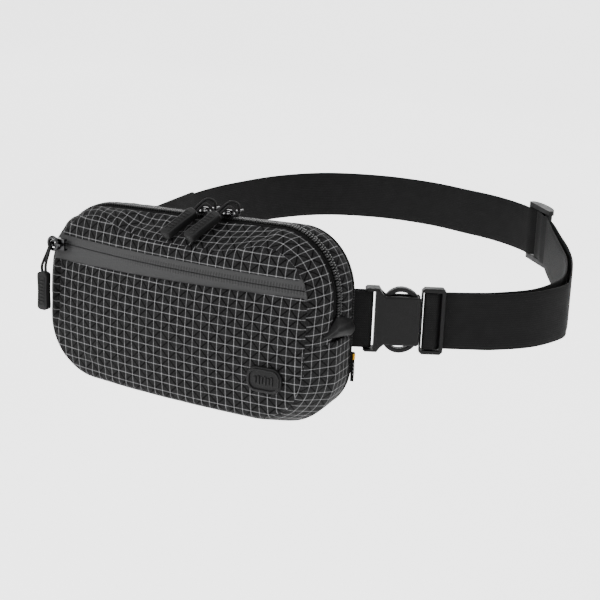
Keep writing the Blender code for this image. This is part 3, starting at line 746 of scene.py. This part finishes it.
def build_end_tabs():
    """A folded tab over each end of the main zip, pinched to a point in front and full at its rear edge."""
    up, across = 16, 30
    for side, sign in (("left", -1), ("right", 1)):
        rows = []
        for j in range(up + 1):
            t = j / up
            row = []
            for k in range(across + 1):
                s = k / across
                y = -39.0 + 32.5 * s
                rise = ease(s / 0.42)
                top = -2.0 + 11.3 * rise - 5.4 * max(0.0, s - 0.42) / 0.58
                low = -3.4 - 5.4 * s
                z = low + (top - low) * t
                full = math.sin(math.pi * t) ** 0.7
                crease = 0.8 * math.exp(-(((t - 0.25 - 0.5 * s) / 0.12) ** 2))
                swell = (2.2 + 1.6 * s) * full * (0.35 + 0.65 * rise) - crease * rise
                x = ZIP.half_width - 0.30 * max(0.0, -29.0 - y) + 0.5 + swell
                row.append(((sign * x, y, z), (y, z)))
            rows.append(row if sign > 0 else row[::-1])
        skin("end_tab_cloth_" + side, rows, LEATHERETTE, "bag", "zip_end_tab_" + side, thickness=END_TAB)


def plate_from(name, outlines, half_thick, rim, place, look, body, *replaced, degrees=35):
    """A plate with rounded rims from an outline and any holes in it, all in millimetres."""
    curve = bpy.data.curves.new(name, "CURVE")
    curve.dimensions = "2D"
    curve.fill_mode = "BOTH"
    curve.extrude = (half_thick - rim) * MM
    curve.bevel_depth = rim * MM
    curve.bevel_resolution = 3
    curve.offset = -rim * MM
    for outline in outlines:
        spline = curve.splines.new("POLY")
        spline.points.add(len(outline) - 1)
        for point, (x, y) in zip(spline.points, outline):
            point.co = (x * MM, y * MM, 0, 1)
        spline.use_cyclic_u = True
    guide = bpy.data.objects.new(name + "_guide", curve)
    bpy.context.scene.collection.objects.link(guide)
    bpy.context.view_layer.update()
    mesh = bpy.data.meshes.new_from_object(guide.evaluated_get(bpy.context.evaluated_depsgraph_get()))
    bpy.data.objects.remove(guide, do_unlink=True)
    bm = bmesh.new()
    bm.from_mesh(mesh)
    bmesh.ops.remove_doubles(bm, verts=bm.verts, dist=1e-6)
    bmesh.ops.recalc_face_normals(bm, faces=bm.faces)
    bm.transform(place)
    bm.to_mesh(mesh)
    bm.free()
    mesh.name = name
    sharpen(add(name, mesh, look, body, *replaced), degrees)


def rectangle(x_low, x_high, y_low, y_high):
    return [(x_low, y_low), (x_high, y_low), (x_high, y_high), (x_low, y_high)]


def soft_rectangle(width, height, radius):
    count = 10
    outline = []
    for corner in range(4):
        across = 1 if corner in (0, 3) else -1
        up = 1 if corner < 2 else -1
        for k in range(count + 1):
            angle = math.pi / 2 * (corner + k / count)
            outline.append((across * (width / 2 - radius) + radius * math.cos(angle),
                            up * (height / 2 - radius) + radius * math.sin(angle)))
    return outline


def build_badge():
    """A rubber badge with a raised rim and a row of plain bars."""
    slope = BADGE_X / FRONT_BOW_RADIUS
    middle = (BADGE_X, front_y(BADGE_X, BADGE_Z) - BADGE_HALF_THICK, BADGE_Z)
    base = at(middle, (1, slope, 0), UP)

    def lifted(height):
        return base @ Matrix.Translation((0, 0, height * MM))

    plate_from("badge_base", [soft_rectangle(25, 17.5, 7.0)], BADGE_HALF_THICK, 0.6, base, RUBBER,
               "bag", "badge")
    plate_from("badge_rim", [soft_rectangle(22.8, 15.3, 6.0), soft_rectangle(20.4, 12.9, 4.8)], 0.9, 0.35,
               lifted(1.4), RUBBER, "bag")
    for k in range(6):
        x_bar = -6.0 + 2.4 * k
        tall = 3.0 if k % 2 else 2.2
        bar = rectangle(x_bar - 0.75, x_bar + 0.75, -tall, tall)
        plate_from(f"badge_bar_{k}", [bar], 0.8, 0.2, lifted(1.35), RUBBER, "bag")


def build_label():
    """A folded side label with an amber stripe and a row of plain pale marks."""
    place = at((BACK.half_width + 1.3, -2.2, LABEL_Z), (1, 0, 0), UP)
    flag = [(-1.3, -10.5), (1.1, -10.5), (1.3, -3), (1.1, 3.5), (1.2, 10.5), (-1.3, 10.5)]
    plate_from("side_label_cloth", [flag], 0.5, 0.2, place, WEB, "bag", "side_label")
    bar = [(0.2, 5.2), (1.4, 5.2), (1.45, 9.4), (0.2, 9.4)]
    plate_from("side_label_stripe", [bar], 0.62, 0.15, place, AMBER, "bag")
    for k in range(4):
        low = 1.9 - 2.6 * k
        mark = rectangle(0.5, 1.35, low, low + 1.2)
        plate_from(f"side_label_mark_{k}", [mark], 0.58, 0.12, place, PALE, "bag")


# Pulls.


def build_grip(name, node, body, top, along, outward):
    """A moulded grip with a slight waist and, on each face, a raised frame round a row of ribs."""
    along = Vector(along).normalized()
    across = Vector(outward).cross(along)
    place = at(top, along, across)

    def end_half(past):
        """Half the grip's width this far past the start of its rounded end."""
        return math.sqrt(max(0.05, 4.4**2 - max(0, past) ** 2 * 3.2))

    edge = []
    for k in range(41):
        t = k / 40
        s = GRIP_LENGTH * t
        half = 4.5 - 0.5 * math.sin(math.pi * t) ** 2
        edge.append((s, min(half, end_half(2.2 - s), end_half(s - 25.8))))
    outline = [*[(s, -h) for s, h in edge], *edge[::-1]]
    plate_from(name + "_body", [outline], GRIP_HALF_THICK, 0.9, place, RUBBER, body, node, degrees=50)
    for face in (-1, 1):
        lift = place @ Matrix.Translation((0, 0, face * 2.72 * MM))
        frame_outline = [rectangle(3.5, 24.5, -2.7, 2.7), rectangle(4.1, 23.9, -2.1, 2.1)]
        plate_from(f"{name}_frame_{face}", frame_outline, 0.3, 0.15, lift, RUBBER, body)
        for k in range(7):
            s = 6.4 + 2.5 * k
            rib = rectangle(s - 0.45, s + 0.45, -1.6, 1.6)
            plate_from(f"{name}_rib_{face}_{k}", [rib], 0.6, 0.2, lift, RUBBER, body)


def build_tube(name, path, radius, look, body, *replaced):
    """A round tube along a path, whose sides don't twist; its V runs round by a cord's girth."""
    angles = [2 * math.pi * k / TUBE_SIDES for k in range(TUBE_SIDES + 1)]
    frame_up = Vector((0.3, 0.9, 0.2)).normalized()
    rows = []
    run = 0.0
    previous = None
    for k, point in enumerate(path):
        along = heading(path, k)
        frame_up = (frame_up - along * frame_up.dot(along)).normalized()
        side = along.cross(frame_up)
        if previous is not None:
            run += (point - previous).length
        previous = point
        ring = [point + (frame_up * math.cos(a) + side * math.sin(a)) * radius for a in angles]
        rows.append([(place, (run, CORD_GIRTH * i / TUBE_SIDES)) for i, place in enumerate(ring)])
    skin(name, rows, look, body, *replaced)


def build_cord(name, points, first, second, eye, far, node):
    """A cord loop from the tab's eye to the grip."""
    body = (first, second, Vector(eye) * MM, Vector(far) * MM)
    build_tube(name, smooth_path(points, 0.8), CORD_RADIUS, CORD, body, node)


def build_main_pulls():
    """The main zip's two grips, which lie forward on the cloth, and their cords."""
    tip = Vector((math.cos(TAB_LIFT), 0, math.sin(TAB_LIFT)))
    slope = Vector((-0.36, -0.76, -0.50)).normalized()
    back = -slope
    for side, x in SLIDER_X.items():
        base = Vector((x, ZIP_Y, ZIP.top + TOP_TILT * x))
        seat = base + UP * SLIDER_SEAT
        hinge = seat + UP * HINGE_HEIGHT
        eye = hinge + tip * TAB_REACH
        top = Vector((x - 3.2, -31.6, 64.0 + TOP_TILT * x))
        reach = top + back * CORD_TUCK
        build_grip("grip_" + side, "main_grip_" + side, "pull_" + side, top, slope, (0, -0.5, 0.866))
        points = [
            reach + Vector((-1.5, 0, 0)), reach + back * 5 + Vector((-1.0, 0, 1.5)),
            eye + Vector((-5.0, -2.8, 6.0)), eye + Vector((-0.9, -0.6, 4.8)), eye + Vector((0.0, 0.0, 1.8)),
            eye, eye + Vector((0.6, -0.6, -1.9)), eye + Vector((1.2, -3.9, -2.4)),
            eye + Vector((0.6, -5.2, 0.4)), eye + Vector((-3.5, -6.3, 3.4)),
            reach + back * 3.2 + Vector((1.6, 0, 0.9)), reach + Vector((1.5, 0, 0)),
        ]
        build_cord("pull_cord_" + side, points, "link_" + side, "pull_" + side, eye, reach,
                   "main_cord_" + side)


def build_pocket_pull():
    """The pocket zip's wire ring, its cord and its hanging grip."""
    x = POCKET_SLIDER_X
    turn = math.asin(x / FRONT_BOW_RADIUS)
    run = Vector((-math.cos(turn), -math.sin(turn), 0))
    off = Vector((math.sin(turn), -math.cos(turn), 0))
    hinge = Vector((x, front_y(x, SLIT_Z), SLIT_Z)) + off * POCKET_HINGE_OFF
    eye = hinge + run * TAB_REACH
    ring_middle = hinge + run * 5.2 + off * 0.6
    ring = [ring_middle + (run * math.cos(a) + UP * math.sin(a)) * RING_RADIUS
            for a in [2 * math.pi * k / 40 for k in range(41)]]
    build_tube("pocket_ring", ring, RING_WIRE_RADIUS, METAL, "pocket_tab_body")
    top = Vector((-105.0, -59.2, 9.0))
    build_grip("pocket_pull_grip", "pocket_grip", "pocket_pull", top, (0, 0, -1), (0, -1, 0))
    points = [
        top + Vector((1.6, 0, 0.2)), top + Vector((1.6, 0.4, 6)),
        eye + Vector((1.2, -3.2, -4.0)), eye + Vector((0.3, -2.4, -0.6)), eye,
        eye + Vector((-0.6, 2.0, -0.6)), eye + Vector((-3.0, 2.4, -3.2)), eye + Vector((-3.6, 0.2, -7.5)),
        top + Vector((-1.6, 0.4, 5)), top + Vector((-1.6, 0, 0.2)),
    ]
    build_cord("pocket_pull_cord", points, "pocket_tab_body", "pocket_pull", eye, top, "pocket_cord")


# Belt.


def buckle_plan(points):
    """Points given as (along the buckle, towards its front), in the belt's plan."""
    cos = math.cos(BUCKLE_HEADING)
    sin = math.sin(BUCKLE_HEADING)
    return [Vector((BUCKLE_START[0] + s * cos + n * sin, BUCKLE_START[1] + s * sin - n * cos, 0))
            for s, n in points]


def triglide_plan(points):
    """Points given as (back along the belt, outwards) from the tri-glide, in the belt's plan."""
    out = Vector((math.cos(TRIGLIDE_ANGLE), math.sin(TRIGLIDE_ANGLE), 0))
    rear = Vector((-out.y, out.x, 0))
    centre = Vector((*ARC_CENTRE, 0)) + out * TRIGLIDE_RADIUS
    return [centre + rear * u + out * n for u, n in points]


def arc_point(degrees):
    """A point on the round of the belt that the tri-glide travels along."""
    angle = math.radians(degrees)
    x, y = ARC_CENTRE
    return Vector((x + ARC_RADIUS * math.cos(angle), y + ARC_RADIUS * math.sin(angle), 0))


def plan(*points):
    return [Vector((x, y, 0)) for x, y in points]


def build_rear_belt():
    """The left wing, and the belt from it round to the tri-glide: one path, cut in two behind the bag."""
    wing = plan((-110.6, -4.0), (-112.2, 2.6), (-117.5, 38), (-129.5, 100), (-138.6, 176))
    strap("left_wing_cloth", wing, "bag", "left_wing", thickness=WING_THICKNESS, width=WING_WIDTH)
    whole = smooth_path([
        *plan((-138.4, 170), (-139.0, 200), (-135, 235), (-121, 287), (-93, 328), (-48, 351), (0, 355.6)),
        *[arc_point(a) for a in (82, 76, 70, 64, 59)], *triglide_plan([(THREADED_REACH, -3.95)])], 3.0)
    cut = min(range(len(whole)), key=lambda k: abs(whole[k].x))
    rear, back = whole[:cut + 1], whole[cut:]
    rear_body = ("bag", "male", Vector((-0.13, 0.24, 0)), Vector((-0.02, 0.35, 0)))
    back_body = ("male", "glide", Vector((0.01, 0.355, 0)), back[-1] * MM)
    strap("belt_rear_web", rear, rear_body, "belt_rear", smooth=False)
    strap("belt_back_web", back, back_body, "belt_back", smooth=False)


def build_glide_straps():
    """The strand threaded over the tri-glide's middle bar, and the belt's end sewn round that bar."""
    rise = [(THREADED_REACH, -3.95), (19.5, -3.35), (15.9, -3.1), (13.4, -2.1), (10.6, 0.6), (7.0, 3.7),
            (3.2, 4.8), (0, 5.0)]
    fall = [(-u, n) for u, n in rise[-2::-1]]
    strap("belt_threaded_web", triglide_plan([*rise, *fall]), "glide", "belt_threaded", step=1.2)
    sewn = triglide_plan([
        (-THREADED_REACH, -5.5), (-19.5, -4.9), (-15.5, -4.65), (-12, -4.0), (-8, -2.7), (-3, -1.6),
        (0, -1.5), (2.9, -1.35), (3.8, 0.9), (2.9, 3.3), (0, 3.5), (-3, 3.1), (-5.0, 1.6)])
    strap("belt_sewn_end_web", sewn, "glide", "belt_sewn_end", step=1.0)


def build_front_belt():
    """The belt's two layers from the tri-glide to the male buckle, and the folds round both buckle bars."""
    fold = buckle_plan([
        (BUCKLE_TAIL, -1.15), (62, -1.05), (60.2, -0.6), (58.9, 0.8), (57.6, 1.9), (55, 2.15), (52, 2.15),
        (50.4, 1.9), (49.7, 1.0), (49.6, -0.4), (49.8, -1.7), (50.9, -2.5), (53.5, -2.7),
        (BUCKLE_TAIL, -2.75)])
    strap("belt_fold_web", fold, "male", "belt_fold", step=0.9)
    outer = [*buckle_plan([(BUCKLE_TAIL, -1.15)]),
             *plan((178, 48), (192, 57.5), (211, 80), (220.5, 110), (216.5, 130), (208, 156), (198, 182),
                   (184, 211), (167, 241), (152, 268)),
             *triglide_plan([(-THREADED_REACH, -4.0)])]
    inner = [*buckle_plan([(BUCKLE_TAIL, -2.75)]),
             *plan((176, 50), (189, 61), (206, 84), (212, 112), (210.5, 133), (203, 158), (193, 183),
                   (181, 206), (166, 234), (149.5, 265)),
             *triglide_plan([(-THREADED_REACH, -5.55)])]
    bend_start = Vector((0.215, 0.13, 0))
    for layer, path in (("outer", outer), ("inner", inner)):
        body = ("male", "glide", bend_start, path[-1] * MM)
        strap(f"belt_{layer}_web", path, body, "belt_" + layer)
    wing = buckle_plan([
        (-4, 2.1), (3, 2.35), (9, 2.55), (12.4, 2.5), (14.0, 1.6), (14.4, 0), (14.0, -1.6), (12.4, -2.5),
        (9, -2.55), (3, -2.35), (-4, -2.1)])
    strap("right_wing_web", wing, "bag", "right_wing", step=1.0)


# Hard parts.


def dress(nodes, look, bevel):
    """Gives CAD nodes that show as they are their material and softer edges."""
    for name in nodes:
        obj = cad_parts[name]
        obj.data.materials.clear()
        obj.data.materials.append(look)
        modifier = obj.modifiers.new("edges", "BEVEL")
        modifier.width = bevel * MM
        modifier.segments = 2
        modifier.limit_method = "ANGLE"
        modifier.angle_limit = EDGE_ANGLE
        for polygon in obj.data.polygons:
            polygon.use_smooth = True


build_coils()
build_end_tabs()
build_badge()
build_label()
build_main_pulls()
build_pocket_pull()
build_rear_belt()
build_glide_straps()
build_front_belt()
dress(("buckle_female", "buckle_male", "buckle_arm_upper", "buckle_arm_lower", "triglide"), PLASTIC, 0.35)
dress(("main_slider_left", "main_slider_right", "pocket_slider"), METAL, 0.18)
dress(("main_tab_left", "main_tab_right", "pocket_tab"), METAL, 0.18)
dress(("pocket_zip_coil",), COIL, 0.2)
dress(("pocket_lining",), LINING, 0.2)


# Floor, light and camera.


FLOOR_Z = -420.0
FLOOR_NEAR_Y = -5000
FLOOR_DEPTH = 8100.0
WALL_FOOT_Y = 3100
WALL_DEPTH = 1700
WALL_HEIGHT = 5200
BACKDROP_WIDTH = 16000
BACKDROP_ROWS = 24
BACKDROP_COLUMNS = 8


def build_backdrop():
    """A pale floor that curves up into a wall, far below and behind the bag."""
    g = Graph("studio_floor")
    colour = g.mix(g.ramp(g.noise(400.0, 1.0), 0.3, 0.7), (0.90, 0.90, 0.90), (0.93, 0.93, 0.93))
    paper = g.finish(colour, 0.9, specular=0.1)
    g.shader.inputs["Emission Color"].default_value = (1, 1, 1, 1)
    g.shader.inputs["Emission Strength"].default_value = 1.6
    points = []
    for j in range(BACKDROP_ROWS + 1):
        t = 2 * j / BACKDROP_ROWS
        rise = max(0.0, t - 1) * math.pi / 2
        y = FLOOR_NEAR_Y + FLOOR_DEPTH * t if t < 1 else WALL_FOOT_Y + WALL_DEPTH * math.sin(rise)
        z = FLOOR_Z + WALL_HEIGHT * (1 - math.cos(rise))
        for k in range(BACKDROP_COLUMNS + 1):
            points.append(Vector(((k / BACKDROP_COLUMNS - 0.5) * BACKDROP_WIDTH, y, z)) * MM)
    mesh = bpy.data.meshes.new("backdrop")
    wide = BACKDROP_COLUMNS + 1
    faces = [(a, a + 1, a + 1 + wide, a + wide)
             for a in [j * wide + k for j in range(BACKDROP_ROWS) for k in range(BACKDROP_COLUMNS)]]
    mesh.from_pydata(points, [], faces)
    mesh.materials.append(paper)
    for polygon in mesh.polygons:
        polygon.use_smooth = True
    backdrop = bpy.data.objects.new("backdrop", mesh)
    bpy.context.scene.collection.objects.link(backdrop)


def build_lights():
    """A white surround, and three lamps that aim at the middle of the bag; their places are in metres."""
    world = bpy.data.worlds.new("studio")
    bpy.context.scene.world = world
    world.use_nodes = True
    surround = world.node_tree.nodes["Background"].inputs
    surround["Color"].default_value = (1, 1, 1, 1)
    surround["Strength"].default_value = 1.3
    target = Vector((0.06, 0.03, 0.0))
    for name, position, size, power in (
        ("key", (-0.9, -1.3, 0.9), 0.8, 26.0),
        ("top", (0.1, 0.2, 1.6), 0.9, 14.0),
        ("fill", (1.3, -0.8, 0.6), 0.9, 4.0),
    ):
        light = bpy.data.lights.new(name, "AREA")
        light.shape = "SQUARE"
        light.size = size
        light.energy = power
        lamp = bpy.data.objects.new(name, light)
        bpy.context.scene.collection.objects.link(lamp)
        lamp.location = position
        lamp.rotation_euler = (target - Vector(position)).to_track_quat("-Z", "Y").to_euler()


def build_camera():
    """A long lens in front, to the right and above; its places are in metres."""
    camera = bpy.data.cameras.new("camera")
    camera.lens = 88.6
    camera.sensor_width = 36.0
    camera.clip_start = 0.05
    camera.clip_end = 40.0
    eye = Vector((0.5492, -0.8416, 0.2986))
    aim = Vector((0.1058, -0.0620, 0.0279)) - eye
    turn = aim.to_track_quat("-Z", "Y").to_matrix().to_4x4()
    roll = Matrix.Rotation(math.radians(2.37), 4, "Z")
    obj = bpy.data.objects.new("camera", camera)
    bpy.context.scene.collection.objects.link(obj)
    obj.matrix_world = Matrix.Translation(eye) @ turn @ roll
    bpy.context.scene.camera = obj


build_backdrop()
build_lights()
build_camera()
bpy.context.view_layer.update()
